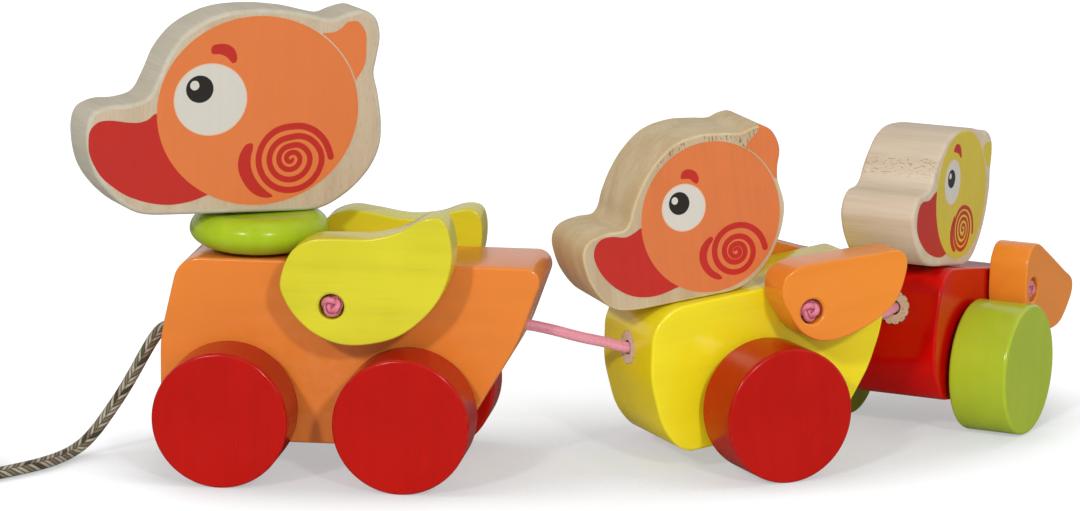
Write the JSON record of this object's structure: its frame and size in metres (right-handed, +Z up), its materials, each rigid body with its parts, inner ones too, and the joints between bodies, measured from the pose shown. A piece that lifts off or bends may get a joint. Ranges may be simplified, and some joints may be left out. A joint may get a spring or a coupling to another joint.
{
  "type": "wooden pull-along duck family",
  "caption": "A wooden mother duck on wheels pulls smaller ducklings on short cords; each has turning wheels, wings held by knotted cord and a head on a dowel, and a braided pull cord leads",
  "frame": {"origin": "centre of the footprint of the three ducks, on the floor", "axes": "+X from the mother's beak towards her tail, +Y from her left side to her right, +Z up"},
  "size_m": [0.3589, 0.2127, 0.1367],
  "materials": {
    "orange_lacquer": "turned and sawn wood under satin orange lacquer",
    "red_lacquer": "wood under satin red lacquer",
    "green_lacquer": "wood under satin yellow-green lacquer",
    "leaf_green_lacquer": "wood under satin leaf-green lacquer",
    "yellow_lacquer": "wood under satin yellow lacquer",
    "sun_yellow_lacquer": "wood under satin yellow lacquer",
    "wing_orange_lacquer": "wood under satin orange lacquer",
    "bright_red_lacquer": "wood under glossy red lacquer",
    "bare_wood": "sanded bare wood; the heads carry a printed face on each side",
    "pink_cord": "smooth round pink cord",
    "braided_cord": "round braid of olive, tan and black yarns"
  },
  "bodies": {
    "mother": {"mother_body": "orange_lacquer", "mother_front_plug": "bare_wood", "mother_rear_plug": "bare_wood", "mother_wing_cord": "pink_cord", "pull_cord": "braided_cord", "pull_cord_coil": "braided_cord", "pull_cord_knot": "braided_cord", "link_cord_1": "pink_cord"},
    "mother_head_turning": {"mother_head": "bare_wood", "mother_head_dowel": "bare_wood"},
    "mother_ring_turning": {"mother_neck_ring": "green_lacquer"},
    "mother_wing_left_turning": {"mother_wing_left": "yellow_lacquer"},
    "mother_wing_right_turning": {"mother_wing_right": "yellow_lacquer"},
    "mother_front_wheels": {"mother_front_axle": "bare_wood", "mother_front_wheel_left": "red_lacquer", "mother_front_wheel_right": "red_lacquer"},
    "mother_rear_wheels": {"mother_rear_axle": "bare_wood", "mother_rear_wheel_left": "red_lacquer", "mother_rear_wheel_right": "red_lacquer"},
    "duckling_1": {"duckling_1_body": "sun_yellow_lacquer", "duckling_1_front_plug": "bare_wood", "duckling_1_rear_plug": "bare_wood", "duckling_1_wing_cord": "pink_cord", "link_cord_2": "pink_cord"},
    "duckling_1_head_turning": {"duckling_1_head": "bare_wood", "duckling_1_head_dowel": "bare_wood"},
    "duckling_1_wing_left_turning": {"duckling_1_wing_left": "wing_orange_lacquer"},
    "duckling_1_wing_right_turning": {"duckling_1_wing_right": "wing_orange_lacquer"},
    "duckling_1_wheels": {"duckling_1_axle": "bare_wood", "duckling_1_wheel_left": "red_lacquer", "duckling_1_wheel_right": "red_lacquer"},
    "duckling_2": {"duckling_2_body": "bright_red_lacquer", "duckling_2_front_plug": "bare_wood", "duckling_2_wing_cord": "pink_cord"},
    "duckling_2_head_turning": {"duckling_2_head": "bare_wood", "duckling_2_head_dowel": "bare_wood"},
    "duckling_2_wing_left_turning": {"duckling_2_wing_left": "wing_orange_lacquer"},
    "duckling_2_wing_right_turning": {"duckling_2_wing_right": "wing_orange_lacquer"},
    "duckling_2_wheels": {"duckling_2_axle": "bare_wood", "duckling_2_wheel_left": "leaf_green_lacquer", "duckling_2_wheel_right": "leaf_green_lacquer"}
  },
  "joints": [
    {"name": "mother_head_swivel", "type": "hinge", "parent": "mother", "child": "mother_head_turning", "pos_m": [-0.0925, -0.0525, 0.07649], "axis": [0.0357, 0.0219, 0.9991], "range_deg": [-90, 30]},
    {"name": "mother_ring_spin", "type": "hinge", "parent": "mother", "child": "mother_ring_turning", "pos_m": [-0.0925, -0.0525, 0.0701], "axis": [0, 0, 1], "continuous": true},
    {"name": "mother_wing_left_swing", "type": "hinge", "parent": "mother", "child": "mother_wing_left_turning", "pos_m": [-0.0663, -0.0741, 0.0533], "axis": [0, 1, 0], "range_deg": [-20, 18]},
    {"name": "mother_wing_right_swing", "type": "hinge", "parent": "mother", "child": "mother_wing_right_turning", "pos_m": [-0.0663, -0.0309, 0.0533], "axis": [0, 1, 0], "range_deg": [-30, 7]},
    {"name": "mother_front_axle_spin", "type": "hinge", "parent": "mother", "child": "mother_front_wheels", "pos_m": [-0.098, -0.0525, 0.02], "axis": [0, 1, 0], "continuous": true},
    {"name": "mother_rear_axle_spin", "type": "hinge", "parent": "mother", "child": "mother_rear_wheels", "pos_m": [-0.045, -0.0525, 0.02], "axis": [0, 1, 0], "continuous": true},
    {"name": "duckling_1_follow", "type": "hinge", "parent": "mother", "child": "duckling_1", "pos_m": [0.00138, -0.04702, 0.044], "axis": [0, 0, 1], "range_deg": [-50, 5], "deforming": ["link_cord_1"]},
    {"name": "duckling_1_head_swivel", "type": "hinge", "parent": "duckling_1", "child": "duckling_1_head_turning", "pos_m": [0.03011, -0.03259, 0.05204], "axis": [-0.1039, -0.0637, 0.9925], "range_deg": [-30, 30]},
    {"name": "duckling_1_wing_left_swing", "type": "hinge", "parent": "duckling_1", "child": "duckling_1_wing_left_turning", "pos_m": [0.06679, -0.03808, 0.04878], "axis": [-0.5225, 0.8526, 0], "range_deg": [-15, 36]},
    {"name": "duckling_1_wing_right_swing", "type": "hinge", "parent": "duckling_1", "child": "duckling_1_wing_right_turning", "pos_m": [0.04187, 0.00259, 0.04878], "axis": [-0.5225, 0.8526, 0], "range_deg": [-36, 15]},
    {"name": "duckling_1_axle_spin", "type": "hinge", "parent": "duckling_1", "child": "duckling_1_wheels", "pos_m": [0.04549, -0.02316, 0.02], "axis": [-0.5225, 0.8526, 0], "continuous": true},
    {"name": "duckling_2_follow", "type": "hinge", "parent": "duckling_1", "child": "duckling_2", "pos_m": [0.08584, 0.00174, 0.04521], "axis": [0, 0, 1], "range_deg": [-50, 8], "deforming": ["link_cord_2"]},
    {"name": "duckling_2_head_swivel", "type": "hinge", "parent": "duckling_2", "child": "duckling_2_head_turning", "pos_m": [0.09805, 0.02444, 0.05085], "axis": [0.0564, 0.1551, 0.9863], "range_deg": [-5, 30]},
    {"name": "duckling_2_wing_left_swing", "type": "hinge", "parent": "duckling_2", "child": "duckling_2_wing_left_turning", "pos_m": [0.12645, 0.04002, 0.04068], "axis": [-0.9397, 0.342, 0], "range_deg": [-30, 3]},
    {"name": "duckling_2_wing_right_swing", "type": "hinge", "parent": "duckling_2", "child": "duckling_2_wing_right_turning", "pos_m": [0.08632, 0.05463, 0.04068], "axis": [-0.9397, 0.342, 0], "range_deg": [-30, 3]},
    {"name": "duckling_2_axle_spin", "type": "hinge", "parent": "duckling_2", "child": "duckling_2_wheels", "pos_m": [0.09647, 0.03031, 0.02], "axis": [-0.9397, 0.342, 0], "continuous": true}
  ]
}
